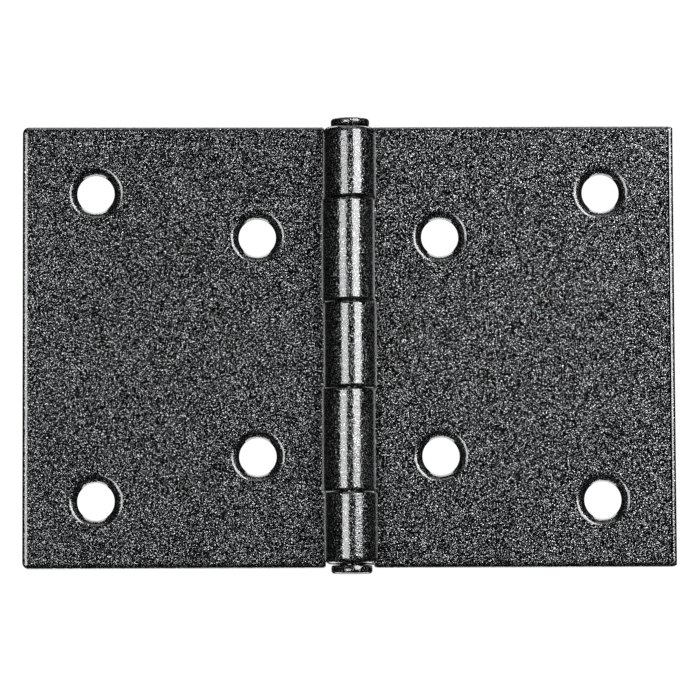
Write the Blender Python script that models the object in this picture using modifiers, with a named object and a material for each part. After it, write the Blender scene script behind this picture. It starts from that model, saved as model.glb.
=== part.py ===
"""A wide steel butt hinge: two leaves whose sheet is rolled into knuckles round one pin.

The hinge stands opened flat. +Z runs up the pin, +X points to the leaf with three knuckles, and
-Y faces the side where the barrel stands proud and the screw holes are countersunk. The leaves'
backs lie in one plane, and the origin is the middle of the pin. Lengths are in metres.
"""

import math

import bmesh
import bpy

MM = 0.001

# Leaves
LEAF_HEIGHT = 60.0 * MM
LEAF_REACH = 44.2 * MM  # from the pin's axis to a leaf's outer edge
SHEET = 1.5 * MM
CORNER_RADIUS = 0.9 * MM
EDGE_RADIUS = 0.5 * MM
CUT_CORNER_RADIUS = 0.35 * MM  # of a leaf's corners beside the barrel's ends

# Barrel
BARREL_RADIUS = 3.45 * MM
BORE_RADIUS = BARREL_RADIUS - SHEET
BARREL_END_SETBACK = 0.4 * MM  # how far the barrel's ends stop short of the leaves' edges
BARREL_LENGTH = LEAF_HEIGHT - 2 * BARREL_END_SETBACK
BARREL_END_RADIUS = 0.85 * MM
KNUCKLE_GAP = 0.3 * MM
KNUCKLE_RADIUS = 0.35 * MM
END_KNUCKLE = 9.6 * MM
SECOND_KNUCKLE = 13.7 * MM
MIDDLE_KNUCKLE = BARREL_LENGTH - 2 * (END_KNUCKLE + SECOND_KNUCKLE) - 4 * KNUCKLE_GAP
KNUCKLE_LENGTHS = [END_KNUCKLE, SECOND_KNUCKLE, MIDDLE_KNUCKLE, SECOND_KNUCKLE, END_KNUCKLE]
ROLL_SLIT = 0.15 * MM  # between the rolled end and its own leaf
CUT_BACK = 3.3 * MM  # from the axis to a leaf's edge, which tucks in behind the other's knuckle

# Screw holes: (distance from the axis, height above or below the middle)
HOLE_PLACES = [(12.4 * MM, 14.9 * MM), (34.3 * MM, 20.9 * MM)]
HOLE_RADIUS = 2.55 * MM
COUNTERSINK_RADIUS = 3.35 * MM
COUNTERSINK_DEPTH = COUNTERSINK_RADIUS - HOLE_RADIUS  # a 90 degree cone
CUTTER_MARGIN = 0.5 * MM  # how far a hole's cutter stands out of the sheet

# Pin
PIN_RADIUS = BORE_RADIUS - 0.07 * MM
PIN_HEAD_GAP = 0.15 * MM
PIN_HEAD_HEIGHT = 1.1 * MM
PIN_HEAD_DOME = 0.12 * MM  # how far the middle of a head's end stands above its rim
PIN_HEAD_ROUNDING = 0.35 * MM
FORMED_HEAD_RADIUS = 2.6 * MM
PEENED_HEAD_RADIUS = 2.76 * MM

# Facets
ROLL_STEPS = 36
HOLE_STEPS = 36
PIN_STEPS = 40
CORNER_STEPS = 4
EDGE_STEPS = 2
ROUNDING_STEPS = 3
ROUNDED_ANGLE = math.radians(50)  # edges that turn more than this are rounded
SHARP_ANGLE = math.radians(40)
FLAT_ANGLE = math.radians(0.1)  # faces that turn less than this become one face
MERGE_DISTANCE = 0.000001
HEIGHT_DIGITS = 7  # rounds heights that should be equal to the same number

FRONT_FACE_Y = BARREL_RADIUS - SHEET
RIGHT = 1
LEFT = -1


def clear_scene():
    for old in list(bpy.data.objects):
        bpy.data.objects.remove(old, do_unlink=True)


def make_collection(name):
    collection = bpy.data.collections.new(name)
    bpy.context.scene.collection.children.link(collection)
    return collection


def make_material(name, color, roughness, metallic):
    material = bpy.data.materials.new(name)
    material.use_nodes = True
    shader = material.node_tree.nodes["Principled BSDF"]
    shader.inputs["Base Color"].default_value = (*color, 1.0)
    shader.inputs["Roughness"].default_value = roughness
    shader.inputs["Metallic"].default_value = metallic
    return material


def add_object(name, mesh, collection, location=(0, 0, 0)):
    piece = bpy.data.objects.new(name, mesh)
    piece.location = location
    collection.objects.link(piece)
    return piece


def knuckle_spans():
    """The (bottom, top) heights of the knuckles, from the top one down."""
    spans = []
    top = BARREL_LENGTH / 2
    for length in KNUCKLE_LENGTHS:
        spans.append((round(top - length, HEIGHT_DIGITS), round(top, HEIGHT_DIGITS)))
        top -= length + KNUCKLE_GAP
    return spans


def turn(piece, steps):
    """Turns a profile in the XZ plane into a closed round solid about its Z axis."""
    screw = piece.modifiers.new("turned", "SCREW")
    screw.steps = steps
    screw.render_steps = steps
    screw.use_merge_vertices = True
    screw.merge_threshold = MERGE_DISTANCE


def make_profile(name, points):
    """A chain of edges through (radius, height) points, which run from top to bottom."""
    mesh = bpy.data.meshes.new(name)
    vertices = [(radius, 0, height) for radius, height in points]
    edges = [(index, index + 1) for index in range(len(points) - 1)]
    mesh.from_pydata(vertices, edges, [])
    return mesh


def apply_modifiers(piece):
    """Makes a piece's modifiers real, and shades it smooth between its sharp edges."""
    graph = bpy.context.evaluated_depsgraph_get()
    mesh = bpy.data.meshes.new_from_object(piece.evaluated_get(graph))
    piece.modifiers.clear()
    piece.data = mesh
    mesh.name = piece.name
    mesh.shade_smooth()
    mesh.set_sharp_from_angle(angle=SHARP_ANGLE)


def sheet_path(side):
    """The middle of a leaf's sheet seen from above, from its outer edge to the end of its roll.

    The sheet runs in along the back of the barrel, turns round the axis and closes on its own
    front face. side is RIGHT or LEFT.
    """
    middle_radius = BARREL_RADIUS - SHEET / 2
    end_angle = math.asin((BORE_RADIUS - ROLL_SLIT) / BARREL_RADIUS)
    start = math.radians(90)
    sweep = math.radians(270) + end_angle
    path = [(side * LEAF_REACH, middle_radius), (side * CUT_BACK, middle_radius)]
    for step in range(ROLL_STEPS + 1):
        angle = start + sweep * step / ROLL_STEPS
        path.append((side * middle_radius * math.cos(angle), middle_radius * math.sin(angle)))
    return path


def make_sheet_surface(name, side, own_spans):
    """The leaf as an open surface: a flat plate with a rolled strip for each of its knuckles."""
    path = sheet_path(side)
    ends = {-LEAF_HEIGHT / 2, LEAF_HEIGHT / 2}
    heights = sorted(ends | {edge for span in own_spans for edge in span})
    surface = bmesh.new()
    previous = [surface.verts.new((*path[0], height)) for height in heights]
    corners = [previous[0], previous[-1]]
    for index, point in enumerate(path[1:]):
        current = [surface.verts.new((*point, height)) for height in heights]
        for row in range(len(heights) - 1):
            is_plate = index == 0
            is_knuckle = (heights[row], heights[row + 1]) in own_spans
            if is_plate or is_knuckle:
                surface.faces.new((previous[row], current[row], current[row + 1], previous[row + 1]))
        previous = current
    loose = [vertex for vertex in surface.verts if not vertex.link_faces]
    bmesh.ops.delete(surface, geom=loose, context="VERTS")
    bmesh.ops.bevel(
        surface,
        geom=corners,
        affect="VERTICES",
        offset=CORNER_RADIUS,
        offset_type="OFFSET",
        segments=CORNER_STEPS,
        profile=0.5,
    )
    bmesh.ops.dissolve_limit(
        surface, angle_limit=FLAT_ANGLE, verts=surface.verts, edges=surface.edges
    )
    bmesh.ops.recalc_face_normals(surface, faces=surface.faces)
    mesh = bpy.data.meshes.new(name)
    surface.to_mesh(mesh)
    surface.free()
    return mesh


def edge_rounding(edge):
    """The radius that one of the thick sheet's sharp edges is rounded to.

    The plate's edges get one radius. The rolled strips get theirs only round the outside of
    their ends, and the inner corners of the cuts beside them stay sharp.
    """
    first, second = (vertex.co for vertex in edge.verts)
    middle = (first + second) / 2
    nearest = min(abs(first.x), abs(second.x))
    is_level = abs(first.z - second.z) < MERGE_DISTANCE
    is_through_sheet = is_level and abs(first.x - second.x) < MERGE_DISTANCE
    if nearest > CUT_BACK - MERGE_DISTANCE:
        is_cut_corner = is_through_sheet and nearest < CUT_BACK + MERGE_DISTANCE
        if not is_cut_corner:
            return EDGE_RADIUS
        return CUT_CORNER_RADIUS if edge.is_convex else 0
    if max(abs(first.x), abs(second.x)) > CUT_BACK + MERGE_DISTANCE:
        return EDGE_RADIUS
    is_outside = math.hypot(middle.x, middle.y) > BARREL_RADIUS - SHEET / 4
    if not (is_level and is_outside):
        return 0
    is_barrel_end = abs(middle.z) > BARREL_LENGTH / 2 - MERGE_DISTANCE
    return BARREL_END_RADIUS if is_barrel_end else KNUCKLE_RADIUS


def set_edge_roundings(mesh):
    """Weights the sharp edges for the bevel, as shares of the largest rounding."""
    sheet = bmesh.new()
    sheet.from_mesh(mesh)
    weight = sheet.edges.layers.float.new("bevel_weight_edge")
    for edge in sheet.edges:
        if edge.calc_face_angle(0) > ROUNDED_ANGLE:
            edge[weight] = edge_rounding(edge) / BARREL_END_RADIUS
    sheet.to_mesh(mesh)
    sheet.free()


def make_hole_cutter(name, location, collection):
    """A countersunk hole's solid, whose wide end stands out of the leaf's front face."""
    profile = make_profile(
        name,
        [
            (0, CUTTER_MARGIN),
            (COUNTERSINK_RADIUS + CUTTER_MARGIN, CUTTER_MARGIN),
            (HOLE_RADIUS, -COUNTERSINK_DEPTH),
            (HOLE_RADIUS, -SHEET - CUTTER_MARGIN),
            (0, -SHEET - CUTTER_MARGIN),
        ],
    )
    cutter = add_object(name, profile, collection, location)
    cutter.rotation_euler = (math.radians(90), 0, 0)
    cutter.display_type = "WIRE"
    cutter.hide_render = True
    turn(cutter, HOLE_STEPS)
    return cutter


def make_leaf(name, side, own_spans, material, parts, cutters):
    """One leaf: its sheet thickened, its edges rounded and its four screw holes cut."""
    leaf = add_object(name, make_sheet_surface(name, side, own_spans), parts)
    leaf.data.materials.append(material)

    thickness = leaf.modifiers.new("sheet", "SOLIDIFY")
    thickness.thickness = SHEET
    thickness.offset = 0
    thickness.use_even_offset = True
    apply_modifiers(leaf)
    set_edge_roundings(leaf.data)

    rounding = leaf.modifiers.new("rounded edges", "BEVEL")
    rounding.width = BARREL_END_RADIUS
    rounding.segments = EDGE_STEPS
    rounding.limit_method = "WEIGHT"
    rounding.use_clamp_overlap = False

    for place, (distance, height) in enumerate(HOLE_PLACES):
        for end in (1, -1):
            location = (side * distance, FRONT_FACE_Y, end * height)
            cutter = make_hole_cutter(f"{name}_hole_{place}_{end}", location, cutters)
            hole = leaf.modifiers.new(cutter.name, "BOOLEAN")
            hole.operation = "DIFFERENCE"
            hole.solver = "EXACT"
            hole.object = cutter
    apply_modifiers(leaf)
    return leaf


def head_profile(radius):
    """A pin head from the middle of its end to its inner rim, with heights from its inner face."""
    rim_height = PIN_HEAD_HEIGHT - PIN_HEAD_DOME
    centre = (radius - PIN_HEAD_ROUNDING, rim_height - PIN_HEAD_ROUNDING)
    points = [(0, PIN_HEAD_HEIGHT), (centre[0] / 2, PIN_HEAD_HEIGHT - PIN_HEAD_DOME / 4)]
    for step in range(ROUNDING_STEPS + 1):
        angle = math.radians(90) * (1 - step / ROUNDING_STEPS)
        points.append(
            (
                centre[0] + PIN_HEAD_ROUNDING * math.cos(angle),
                centre[1] + PIN_HEAD_ROUNDING * math.sin(angle),
            )
        )
    points.append((radius, 0))
    return points


def make_pin(name, material, parts):
    """The pin: a plain shank with a formed head above the barrel and a peened one below."""
    inner_face = BARREL_LENGTH / 2 + PIN_HEAD_GAP
    upper = [(radius, inner_face + height) for radius, height in head_profile(FORMED_HEAD_RADIUS)]
    lower = [(radius, -inner_face - height) for radius, height in head_profile(PEENED_HEAD_RADIUS)]
    shank = [(PIN_RADIUS, inner_face), (PIN_RADIUS, -inner_face)]
    profile = make_profile(name, upper + shank + lower[::-1])
    pin = add_object(name, profile, parts)
    pin.data.materials.append(material)
    turn(pin, PIN_STEPS)
    apply_modifiers(pin)
    return pin


def main():
    clear_scene()
    parts = make_collection("door_hinge")
    cutters = make_collection("cutters")
    coat = make_material("silver_black_powder_coat", (0.075, 0.078, 0.085), 0.35, 0.6)
    pin_coat = make_material("pin_powder_coat", (0.065, 0.067, 0.072), 0.3, 0.6)

    spans = knuckle_spans()
    frame_leaf = make_leaf("frame_leaf", RIGHT, spans[0::2], coat, parts, cutters)
    make_leaf("door_leaf", LEFT, spans[1::2], coat, parts, cutters)
    pin = make_pin("hinge_pin", pin_coat, parts)
    pin.parent = frame_leaf


main()
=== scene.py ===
"""The looks of a wide rolled butt hinge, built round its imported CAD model.

The CAD gives every size that matters: the leaves' outline, the barrel's radius and the pin's
length. This script makes finer copies of the three pieces, with rounded rims and a powder coat
of fine silver flecks on black, and lights them as a small product on white. Lengths are metres.
"""

import math

import bmesh
import bpy
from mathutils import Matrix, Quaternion, Vector


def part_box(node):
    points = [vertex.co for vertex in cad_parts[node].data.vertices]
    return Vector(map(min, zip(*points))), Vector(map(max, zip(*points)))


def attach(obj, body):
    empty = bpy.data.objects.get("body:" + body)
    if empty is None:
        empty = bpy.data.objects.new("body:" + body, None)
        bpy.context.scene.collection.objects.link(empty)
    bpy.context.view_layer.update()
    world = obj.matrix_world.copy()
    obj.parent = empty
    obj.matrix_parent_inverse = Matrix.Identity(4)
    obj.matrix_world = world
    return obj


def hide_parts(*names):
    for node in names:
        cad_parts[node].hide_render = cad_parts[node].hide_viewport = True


MM = 0.001

# Leaves: details that the CAD's boxes don't give
SHEET = 1.5 * MM
CORNER_RADIUS = 0.9 * MM
EDGE_RADIUS = 0.74 * MM
RIM_DEPTH = 0.5  # an outer rim's depth as a share of its width
CUT_BACK = 3.27 * MM  # from the axis to a leaf's edge beside the other leaf's knuckle
CUT_EDGE_RADIUS = 0.35 * MM
CUT_CORNER_RADIUS = 0.35 * MM

# Knuckles
END_SETBACK = 0.4 * MM  # how far the barrel's ends stop short of the leaves' edges
END_KNUCKLE = 9.67 * MM
SECOND_KNUCKLE = 13.84 * MM
KNUCKLE_GAP = 0.16 * MM
KNUCKLE_PLAY = 0.11 * MM  # how far each leaf's knuckles stand off the axis, towards their leaf
FLANK_BULGE = 0.14 * MM  # how far a roll's flanks stand outside a true circle
BULGE_POWER = 7  # odd; the higher it is, the closer the bulge keeps to the flanks
ROLL_SLIT = 0.12 * MM  # from the end of a roll to its own leaf
BARREL_END_RADIUS = 0.85 * MM
SEAM_RADIUS = 0.4 * MM  # of a knuckle's inner rims at the barrel's front
SEAM_FLANK_RADIUS = 0.1 * MM  # of the same rims at its flanks and back
SEAM_FADE = 1.5  # above 1, the full radius is reached before the very front

# Screw holes
HOLE_PLACES = [(12.4 * MM, 14.9 * MM), (34.3 * MM, 20.9 * MM)]  # from the axis, from the middle
HOLE_RADIUS = 2.53 * MM
HOLE_BACK_RIM = 0.15 * MM  # the broken edge at the back
COUNTERSINK_RADIUS = 3.35 * MM
COUNTERSINK_SLOPE = math.radians(45)  # of its cone, from the front face
COUNTERSINK_RIM = 0.9 * MM  # the radius of the soft turn from the front face into the cone
RIM_START_SLOPE = math.radians(6)  # where that turn begins
LEAD_SLOPE = math.radians(5)  # of the shallow cone before it
LEAD_HEIGHT = 0.05 * MM  # how far above the front face the cutter's shallow cone starts
CUTTER_MARGIN = 0.5 * MM  # how far a hole cutter reaches past the sheet

# Pin
PIN_CLEARANCE = 0.33 * MM  # how much smaller the shank's radius is than the bore's
PIN_PLAY = 0.2 * MM  # how far the pin stands off the axis, towards the leaf that holds it
PIN_HEAD_GAP = 0.15 * MM  # between a head and the barrel's end
PIN_HEAD_HEIGHT = 1.1 * MM
PIN_HEAD_ROUNDING = 0.38 * MM
PIN_HEAD_CHAMFER = 0.12 * MM
TOP_HEAD_DOME = 0.12 * MM
BOTTOM_HEAD_DOME = 0.0
FORMED_HEAD_RADIUS = 2.6 * MM  # of the top head; the bottom one's is the CAD's

# Smoothness of the finer meshes
ROLL_STEPS = 104
HOLE_STEPS = 96
PIN_STEPS = 96
CORNER_STEPS = 8
EDGE_STEPS = 5
RIM_STEPS = 7
DOME_STEPS = 5
MERGE_DISTANCE = 0.0005 * MM
HEIGHT_DIGITS = 7  # heights are rounded to this many decimals, so that equal ones compare equal
FLAT_ANGLE = math.radians(0.1)  # faces that turn less than this against each other are joined
CREASE_ANGLE = math.radians(50)  # edges that turn more than this are sharp

RIGHT = 1
LEFT = -1

# Powder coat
SPECK_SIZE = 0.11 * MM  # of the bright specks and the dark between them
SPECK_LEVELS = [  # noise, brightness
    (0.0, 0.0),
    (0.53, 0.0),
    (0.57, 0.002),
    (0.63, 0.018),
    (0.7, 0.105),
    (0.79, 0.5),
]
SPECK_TINT = (0.95, 0.97, 1.0)  # of every level above
FLAKE_SIZE = 0.12 * MM  # of the flakes that each face their own way
FLAKE_TILT = 0.35  # the higher it is, the further they lean
PEEL_SIZE = 0.20 * MM  # of the gloss's unevenness
PEEL_DEPTH = 0.016 * MM

CAMERA_AZIMUTH = -1.2
CAMERA_ELEVATION = -4.8
CAMERA_ROLL = -0.26
CAMERA_DISTANCE = 0.60
CAMERA_LENS = 229.9
CAMERA_AIM = (-0.2 * MM, 0.0, -0.4 * MM)

# Lights: name, azimuth, elevation, distance, width, height, radiance. The first two make the
# barrel's bright stripes, and the last two are for views from behind.
SOFTBOXES = [
    ("left_softbox", -25.5, -4, 2.5, 1.30, 1.40, 12.6),
    ("right_softbox", 34, 20, 0.5, 0.295, 0.375, 16.2),
    ("top_light", 0, 80, 1.2, 1.0, 1.0, 2.0),
    ("white_backdrop", 180, -10, 1.5, 1.2, 0.5, 0.45),
    ("back_low_softbox", 180, -50, 1.0, 1.3, 0.5, 6.0),
    ("back_high_softbox", 180, 50, 1.0, 1.0, 0.5, 5.0),
]
AMBIENT_LIGHT = 0.04

# Stage
STAGE_RADIUS = 3.0  # outside every light, and short of the camera's clip distance in every view
FLOOR_HEIGHT = -0.45

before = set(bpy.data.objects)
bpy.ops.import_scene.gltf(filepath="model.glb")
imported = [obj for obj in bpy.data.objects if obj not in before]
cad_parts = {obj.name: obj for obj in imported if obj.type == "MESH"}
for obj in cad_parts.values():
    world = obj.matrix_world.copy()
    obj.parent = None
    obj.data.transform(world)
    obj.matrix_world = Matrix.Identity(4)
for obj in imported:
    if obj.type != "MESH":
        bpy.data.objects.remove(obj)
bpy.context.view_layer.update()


def add_object(name, data):
    made = bpy.data.objects.new(name, data)
    bpy.context.scene.collection.objects.link(made)
    return made


def apply_modifiers(piece):
    """Gives the piece the mesh that its modifiers make, and drops them."""
    graph = bpy.context.evaluated_depsgraph_get()
    mesh = bpy.data.meshes.new_from_object(piece.evaluated_get(graph))
    piece.modifiers.clear()
    piece.data = mesh


def shade(piece):
    """Smooth shading in which flat faces stay flat and only real creases stay sharp."""
    mesh = piece.data
    mesh.shade_smooth()
    mesh.set_sharp_from_angle(angle=CREASE_ANGLE)
    weighted = piece.modifiers.new("face weighted normals", "WEIGHTED_NORMAL")
    weighted.weight = 100
    weighted.keep_sharp = True


# ---------------------------------------------------------------- sizes read from the CAD

leaf_low, leaf_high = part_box("frame_leaf")
_, pin_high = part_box("hinge_pin")
barrel_radius = -leaf_low.y
half_height = leaf_high.z
leaf_reach = leaf_high.x
bore_radius = barrel_radius - SHEET
front_face_y = barrel_radius - SHEET
peened_head_radius = pin_high.x


def knuckle_spans():
    """The (bottom, top) heights of the knuckles, from the top one down."""
    middle = 2 * (half_height - END_SETBACK - END_KNUCKLE - SECOND_KNUCKLE - 2 * KNUCKLE_GAP)
    spans = []
    top = half_height - END_SETBACK
    for length in (END_KNUCKLE, SECOND_KNUCKLE, middle, SECOND_KNUCKLE, END_KNUCKLE):
        spans.append((round(top - length, HEIGHT_DIGITS), round(top, HEIGHT_DIGITS)))
        top -= length + KNUCKLE_GAP
    return spans


# ---------------------------------------------------------------- leaves


def sheet_path(side):
    """The middle of the sheet seen from above, from the leaf's outer edge to its roll's end."""
    middle_radius = barrel_radius - SHEET / 2
    end_angle = math.asin((bore_radius - ROLL_SLIT) / barrel_radius)
    start = math.radians(90)
    sweep = math.radians(270) + end_angle
    path = [(side * leaf_reach, middle_radius), (side * CUT_BACK, middle_radius)]
    for step in range(ROLL_STEPS + 1):
        angle = start + sweep * step / ROLL_STEPS
        bulge = FLANK_BULGE * math.cos(angle) ** BULGE_POWER
        reach = middle_radius * math.cos(angle) + bulge + KNUCKLE_PLAY
        path.append((side * reach, middle_radius * math.sin(angle)))
    return path


def sheet_surface(name, side, own_spans):
    """The leaf as an open surface: a flat plate with a rolled strip for each of its knuckles."""
    path = sheet_path(side)
    ends = {round(-half_height, HEIGHT_DIGITS), round(half_height, HEIGHT_DIGITS)}
    heights = sorted(ends | {edge for span in own_spans for edge in span})
    surface = bmesh.new()
    previous = [surface.verts.new((*path[0], height)) for height in heights]
    corners = [previous[0], previous[-1]]
    for index, point in enumerate(path[1:]):
        current = [surface.verts.new((*point, height)) for height in heights]
        for row in range(len(heights) - 1):
            is_plate = index == 0
            is_knuckle = (heights[row], heights[row + 1]) in own_spans
            if is_plate or is_knuckle:
                surface.faces.new((previous[row], current[row], current[row + 1], previous[row + 1]))
        previous = current
    loose = [vertex for vertex in surface.verts if not vertex.link_faces]
    bmesh.ops.delete(surface, geom=loose, context="VERTS")
    bmesh.ops.bevel(
        surface,
        geom=corners,
        affect="VERTICES",
        offset=CORNER_RADIUS,
        offset_type="OFFSET",
        segments=CORNER_STEPS,
        profile=0.5,
    )
    bmesh.ops.dissolve_limit(
        surface, angle_limit=FLAT_ANGLE, verts=surface.verts, edges=surface.edges
    )
    bmesh.ops.recalc_face_normals(surface, faces=surface.faces)
    mesh = bpy.data.meshes.new(name)
    surface.to_mesh(mesh)
    surface.free()
    return mesh


def edge_rounding(edge):
    """The radius that one of the thickened sheet's sharp edges is rounded to."""
    first, second = (vertex.co for vertex in edge.verts)
    nearest, furthest = sorted((abs(first.x), abs(second.x)))
    is_level = abs(first.z - second.z) < MERGE_DISTANCE
    is_plate = min(first.y, second.y) > front_face_y - MERGE_DISTANCE
    if is_plate and furthest > CUT_BACK + MERGE_DISTANCE:
        return EDGE_RADIUS
    if is_plate and nearest > CUT_BACK - MERGE_DISTANCE:
        is_through_sheet = is_level and abs(first.x - second.x) < MERGE_DISTANCE
        if not is_through_sheet:
            return CUT_EDGE_RADIUS
        return CUT_CORNER_RADIUS if edge.is_convex else 0

    middle = (first + second) / 2
    is_outside = math.hypot(middle.x, middle.y) > barrel_radius - SHEET / 4
    if not (is_level and is_outside):
        return 0
    is_barrel_end = abs(middle.z) > half_height - END_SETBACK - MERGE_DISTANCE
    if is_barrel_end:
        return BARREL_END_RADIUS
    frontness = min(1, max(0, -SEAM_FADE * middle.y / barrel_radius))
    return SEAM_FLANK_RADIUS + (SEAM_RADIUS - SEAM_FLANK_RADIUS) * frontness


def set_edge_roundings(mesh):
    """Weights the sharp edges for the bevel, as shares of the largest rounding."""
    sheet = bmesh.new()
    sheet.from_mesh(mesh)
    weight = sheet.edges.layers.float.new("bevel_weight_edge")
    for edge in sheet.edges:
        if edge.calc_face_angle(0) > CREASE_ANGLE:
            edge[weight] = edge_rounding(edge) / BARREL_END_RADIUS
    sheet.to_mesh(mesh)
    sheet.free()


def flatten_outer_rims(leaf):
    """Makes the outer rims shallower than they are wide, as a sheared and coated sheet's are."""
    for vertex in leaf.data.vertices:
        if abs(vertex.co.x) < leaf_reach / 2:
            continue
        from_front = vertex.co.y - front_face_y
        from_back = barrel_radius - vertex.co.y
        if from_front < from_back:
            vertex.co.y = front_face_y + RIM_DEPTH * from_front
        else:
            vertex.co.y = barrel_radius - RIM_DEPTH * from_back


def hole_profile():
    """A countersunk hole's outline as (radius, depth) from above the front face to below the back.

    The cone turns into the front face over a soft rim, and the hole's back edge is a little
    broken, as both are on a coated pressing.
    """
    rim_radius = COUNTERSINK_RADIUS + COUNTERSINK_RIM * math.tan(COUNTERSINK_SLOPE / 2)
    rim = []
    for step in range(RIM_STEPS):
        slope = RIM_START_SLOPE + (COUNTERSINK_SLOPE - RIM_START_SLOPE) * step / (RIM_STEPS - 1)
        radius = rim_radius - COUNTERSINK_RIM * math.sin(slope)
        rim.append((radius, COUNTERSINK_RIM * (1 - math.cos(slope))))
    first_radius, first_depth = rim[0]
    lead_radius = first_radius + (first_depth + LEAD_HEIGHT) / math.tan(LEAD_SLOPE)
    cone_depth = (COUNTERSINK_RADIUS - HOLE_RADIUS) * math.tan(COUNTERSINK_SLOPE)
    above = [(0, -CUTTER_MARGIN), (lead_radius, -CUTTER_MARGIN), (lead_radius, -LEAD_HEIGHT)]
    below = [
        (HOLE_RADIUS, cone_depth),
        (HOLE_RADIUS, SHEET - HOLE_BACK_RIM),
        (HOLE_RADIUS + HOLE_BACK_RIM + CUTTER_MARGIN, SHEET + CUTTER_MARGIN),
        (0, SHEET + CUTTER_MARGIN),
    ]
    return above + rim + below


def turned_piece(name, profile, steps):
    """A closed round piece about Z from (radius, height) points that run from top to bottom."""
    mesh = bpy.data.meshes.new(name)
    edges = [(index, index + 1) for index in range(len(profile) - 1)]
    mesh.from_pydata([(radius, 0, height) for radius, height in profile], edges, [])
    piece = add_object(name, mesh)
    screw = piece.modifiers.new("turned", "SCREW")
    screw.steps = steps
    screw.render_steps = steps
    screw.use_merge_vertices = True
    screw.merge_threshold = MERGE_DISTANCE
    apply_modifiers(piece)
    return piece


def cut_holes(leaf, side):
    profile = [(radius, -depth) for radius, depth in hole_profile()]
    cutters = []
    for distance, height in HOLE_PLACES:
        for end in (1, -1):
            cutter = turned_piece("hole_cutter", profile, HOLE_STEPS)
            cutter.rotation_euler = (math.radians(90), 0, 0)
            cutter.location = (side * distance, front_face_y, end * height)
            hole = leaf.modifiers.new("hole", "BOOLEAN")
            hole.operation = "DIFFERENCE"
            hole.solver = "EXACT"
            hole.object = cutter
            cutters.append(cutter)
    bpy.context.view_layer.update()
    apply_modifiers(leaf)
    for cutter in cutters:
        bpy.data.objects.remove(cutter)


def make_leaf(name, side, own_spans, material):
    leaf = add_object(name, sheet_surface(name, side, own_spans))
    leaf.data.materials.append(material)

    thickness = leaf.modifiers.new("sheet", "SOLIDIFY")
    thickness.thickness = SHEET
    thickness.offset = 0
    thickness.use_even_offset = True
    apply_modifiers(leaf)

    set_edge_roundings(leaf.data)
    rounding = leaf.modifiers.new("rounded edges", "BEVEL")
    rounding.width = BARREL_END_RADIUS
    rounding.segments = EDGE_STEPS
    rounding.limit_method = "WEIGHT"
    rounding.use_clamp_overlap = False
    apply_modifiers(leaf)
    flatten_outer_rims(leaf)

    cut_holes(leaf, side)
    shade(leaf)
    return leaf


# ---------------------------------------------------------------- pin


def head_profile(radius, dome):
    """A pin head from the middle of its end to its inner rim, with heights from its inner face."""
    centre_radius = radius - PIN_HEAD_ROUNDING
    centre_height = PIN_HEAD_HEIGHT - dome - PIN_HEAD_ROUNDING
    points = []
    for step in range(DOME_STEPS):
        share = step / DOME_STEPS
        points.append((centre_radius * share, PIN_HEAD_HEIGHT - dome * share * share))
    for step in range(RIM_STEPS + 1):
        angle = math.radians(90) * (1 - step / RIM_STEPS)
        points.append(
            (
                centre_radius + PIN_HEAD_ROUNDING * math.cos(angle),
                centre_height + PIN_HEAD_ROUNDING * math.sin(angle),
            )
        )
    return points + [(radius, PIN_HEAD_CHAMFER), (radius - PIN_HEAD_CHAMFER, 0)]


def make_pin(name, material):
    inner_face = half_height - END_SETBACK + PIN_HEAD_GAP
    shank_radius = bore_radius - PIN_CLEARANCE
    top_head = head_profile(FORMED_HEAD_RADIUS, TOP_HEAD_DOME)
    bottom_head = head_profile(peened_head_radius, BOTTOM_HEAD_DOME)
    upper = [(radius, inner_face + height) for radius, height in top_head]
    lower = [(radius, -inner_face - height) for radius, height in bottom_head]
    profile = upper + [(shank_radius, inner_face), (shank_radius, -inner_face)] + lower[::-1]
    pin = turned_piece(name, profile, PIN_STEPS)
    pin.data.materials.append(material)
    pin.location.x = PIN_PLAY
    shade(pin)
    return pin


# ---------------------------------------------------------------- powder coat


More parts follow.
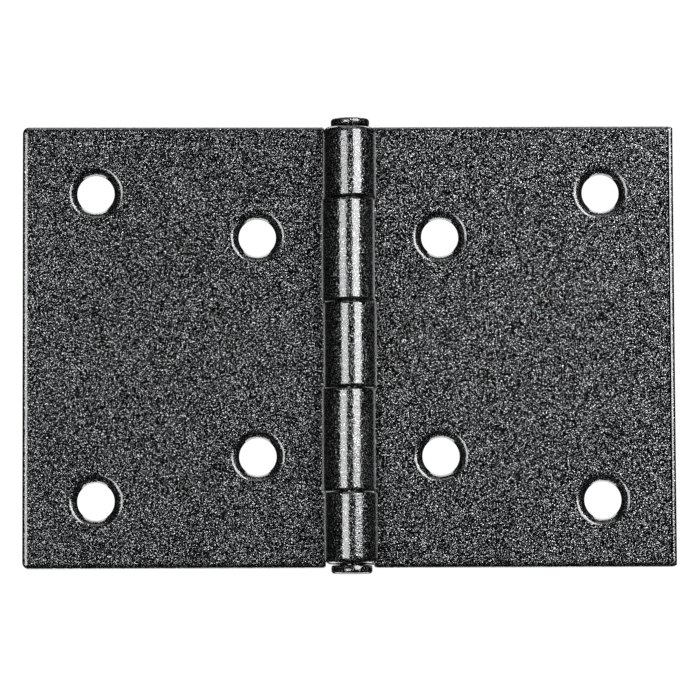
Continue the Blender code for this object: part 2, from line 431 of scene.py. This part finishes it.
def powder_coat(name):
    """Black powder coat full of fine silver flecks, under a clear gloss with a slight peel."""
    material = bpy.data.materials.new(name)
    material.use_nodes = True
    tree = material.node_tree
    shader = tree.nodes["Principled BSDF"]
    link = tree.links.new

    def node(kind, **settings):
        made = tree.nodes.new(kind)
        for key, value in settings.items():
            setattr(made, key, value)
        return made

    def noise(size):
        made = node("ShaderNodeTexNoise", noise_dimensions="3D")
        made.inputs["Scale"].default_value = 1 / size
        made.inputs["Detail"].default_value = 0.0
        link(place, made.inputs["Vector"])
        return made.outputs["Fac"]

    place = node("ShaderNodeTexCoord").outputs["Object"]

    # Specks: the metal under the gloss is black where the noise is low and silver where it is high
    ramp = node("ShaderNodeValToRGB")
    ramp.color_ramp.interpolation = "LINEAR"
    while len(ramp.color_ramp.elements) < len(SPECK_LEVELS):
        ramp.color_ramp.elements.new(0.5)
    for element, (position, level) in zip(ramp.color_ramp.elements, SPECK_LEVELS):
        element.position = position
        element.color = (*(level * share for share in SPECK_TINT), 1)
    link(noise(SPECK_SIZE), ramp.inputs["Fac"])
    link(ramp.outputs["Color"], shader.inputs["Base Color"])

    # Flakes: each cell of the metal leans its own way
    flakes = node("ShaderNodeTexVoronoi", voronoi_dimensions="3D", feature="F1")
    flakes.inputs["Scale"].default_value = 1 / FLAKE_SIZE
    link(place, flakes.inputs["Vector"])
    spread = node("ShaderNodeVectorMath", operation="SUBTRACT")
    link(flakes.outputs["Color"], spread.inputs[0])
    spread.inputs[1].default_value = (0.5, 0.5, 0.5)
    tilt = node("ShaderNodeVectorMath", operation="SCALE")
    link(spread.outputs["Vector"], tilt.inputs[0])
    tilt.inputs["Scale"].default_value = FLAKE_TILT
    tilted = node("ShaderNodeVectorMath", operation="ADD")
    link(node("ShaderNodeNewGeometry").outputs["Normal"], tilted.inputs[0])
    link(tilt.outputs["Vector"], tilted.inputs[1])
    facing = node("ShaderNodeVectorMath", operation="NORMALIZE")
    link(tilted.outputs["Vector"], facing.inputs[0])
    link(facing.outputs["Vector"], shader.inputs["Normal"])

    # Peel: the clear gloss over the metal isn't quite even
    bump = node("ShaderNodeBump")
    bump.inputs["Strength"].default_value = 1.0
    bump.inputs["Distance"].default_value = PEEL_DEPTH
    link(noise(PEEL_SIZE), bump.inputs["Height"])
    link(bump.outputs["Normal"], shader.inputs["Coat Normal"])

    shader.inputs["Metallic"].default_value = 1.0
    shader.inputs["Roughness"].default_value = 0.45
    shader.inputs["Specular Tint"].default_value = (0.2, 0.2, 0.2, 1)
    shader.inputs["Coat Weight"].default_value = 1.0
    shader.inputs["Coat Roughness"].default_value = 0.06
    shader.inputs["Coat IOR"].default_value = 1.5
    return material


# ---------------------------------------------------------------- stage, camera, lights


def plain_material(name, level, glow):
    material = bpy.data.materials.new(name)
    material.use_nodes = True
    shader = material.node_tree.nodes["Principled BSDF"]
    shader.inputs["Base Color"].default_value = (level, level, level, 1)
    shader.inputs["Roughness"].default_value = 0.9
    shader.inputs["Emission Color"].default_value = (1, 1, 1, 1)
    shader.inputs["Emission Strength"].default_value = glow
    return material


def seen_by_camera_only(piece):
    piece.visible_diffuse = False
    piece.visible_glossy = False
    piece.visible_transmission = False
    piece.visible_volume_scatter = False
    piece.visible_shadow = False


def make_stage():
    """A pale floor well below the hinge and a white surround, which only the camera sees."""
    bpy.ops.mesh.primitive_circle_add(
        vertices=64, radius=STAGE_RADIUS, fill_type="NGON", location=(0, 0, FLOOR_HEIGHT)
    )
    floor = bpy.context.object
    floor.name = "floor"
    floor.data.materials.append(plain_material("pale_floor", level=0.8, glow=0.55))
    seen_by_camera_only(floor)

    bpy.ops.mesh.primitive_uv_sphere_add(segments=48, ring_count=24, radius=STAGE_RADIUS)
    surround = bpy.context.object
    surround.name = "surround"
    surround.data.materials.append(plain_material("white_surround", level=0.0, glow=1.05))
    seen_by_camera_only(surround)


def direction(azimuth, elevation):
    a = math.radians(azimuth)
    e = math.radians(elevation)
    return Vector((math.sin(a) * math.cos(e), -math.cos(a) * math.cos(e), math.sin(e)))


def point_at(thing, target):
    thing.rotation_mode = "QUATERNION"
    thing.rotation_quaternion = (target - thing.location).to_track_quat("-Z", "Y")


def make_camera():
    camera = add_object("camera", bpy.data.cameras.new("camera"))
    camera.data.sensor_width = 36.0
    camera.data.lens = CAMERA_LENS
    camera.data.clip_start = 0.05
    camera.data.clip_end = 10.0
    aim = Vector(CAMERA_AIM)
    camera.location = aim + direction(CAMERA_AZIMUTH, CAMERA_ELEVATION) * CAMERA_DISTANCE
    point_at(camera, aim)
    camera.rotation_quaternion @= Quaternion((0, 0, 1), math.radians(CAMERA_ROLL))
    bpy.context.scene.camera = camera


def make_softbox(name, azimuth, elevation, distance, width, height, radiance):
    """A rectangular soft light of even radiance that faces the hinge and is itself unseen."""
    data = bpy.data.lights.new(name, "AREA")
    data.shape = "RECTANGLE"
    data.size = width
    data.size_y = height
    data.energy = radiance * math.pi * width * height
    softbox = add_object(name, data)
    softbox.location = direction(azimuth, elevation) * distance
    softbox.visible_camera = False
    point_at(softbox, Vector())


def make_lights():
    for softbox in SOFTBOXES:
        make_softbox(*softbox)
    world = bpy.data.worlds.new("studio")
    bpy.context.scene.world = world
    world.use_nodes = True
    background = world.node_tree.nodes["Background"]
    background.inputs["Color"].default_value = (1, 1, 1, 1)
    background.inputs["Strength"].default_value = AMBIENT_LIGHT
    bpy.context.scene.view_settings.view_transform = "Standard"


# ---------------------------------------------------------------- the hinge

spans = knuckle_spans()
coat = powder_coat("silver_black_coat")

frame_leaf = make_leaf("frame_leaf_coated", RIGHT, spans[0::2], coat)
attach(frame_leaf, "frame_side")
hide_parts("frame_leaf")

door_leaf = make_leaf("door_leaf_coated", LEFT, spans[1::2], coat)
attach(door_leaf, "door_side")
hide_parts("door_leaf")

pin = make_pin("hinge_pin_coated", coat)
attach(pin, "frame_side")
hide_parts("hinge_pin")

make_stage()
make_camera()
make_lights()
